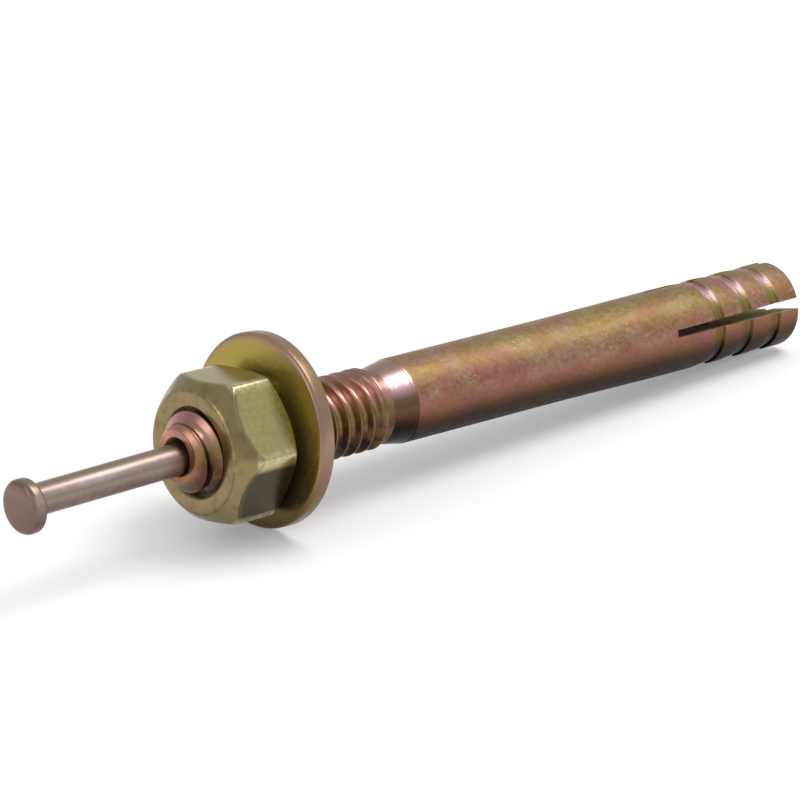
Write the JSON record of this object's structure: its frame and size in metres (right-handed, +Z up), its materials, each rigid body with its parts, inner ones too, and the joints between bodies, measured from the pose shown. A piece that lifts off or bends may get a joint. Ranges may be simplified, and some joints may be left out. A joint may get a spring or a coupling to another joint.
{
  "type": "hammer drive anchor",
  "caption": "Hammer drive anchor: threaded stud with nut and washer, slotted expansion sleeve and a drive pin, for fixing things to masonry.",
  "frame": {"origin": "on the surface the anchor lies on, under the middle of its bounding box", "axes": "+X runs from the pin's head to the slotted end, +Z is up"},
  "size_m": [0.0936, 0.018, 0.0179],
  "materials": {
    "mauve_gold_zinc": "yellow-chromate zinc plating, mauve to olive gold, satin",
    "olive_gold_zinc": "yellow-chromate zinc plating, olive gold, satin",
    "washer_gold_zinc": "yellow-chromate zinc plating, gold, satin",
    "pale_pin_zinc": "thin zinc plating, pale silver pink, satin"
  },
  "bodies": {
    "anchor": {"anchor_body": "mauve_gold_zinc", "drive_pin": "pale_pin_zinc"},
    "washer": {"flat_washer": "washer_gold_zinc"},
    "nut": {"hex_nut": "olive_gold_zinc"}
  },
  "joints": [
    {"name": "washer_slide", "type": "slide", "parent": "anchor", "child": "washer", "axis": [0.9978, 0, -0.0665], "range_m": [-0.0018, 0.0106]},
    {"name": "nut_turn", "type": "hinge", "parent": "washer", "child": "nut", "pos_m": [-0.02371, 0, 0.0088], "axis": [0.9978, 0, -0.0665], "range_deg": [-432, 2544]}
  ],
  "couplings": [
    {"joint": "washer_slide", "follows": "nut_turn", "m_per_rad": 0.00023873}
  ]
}
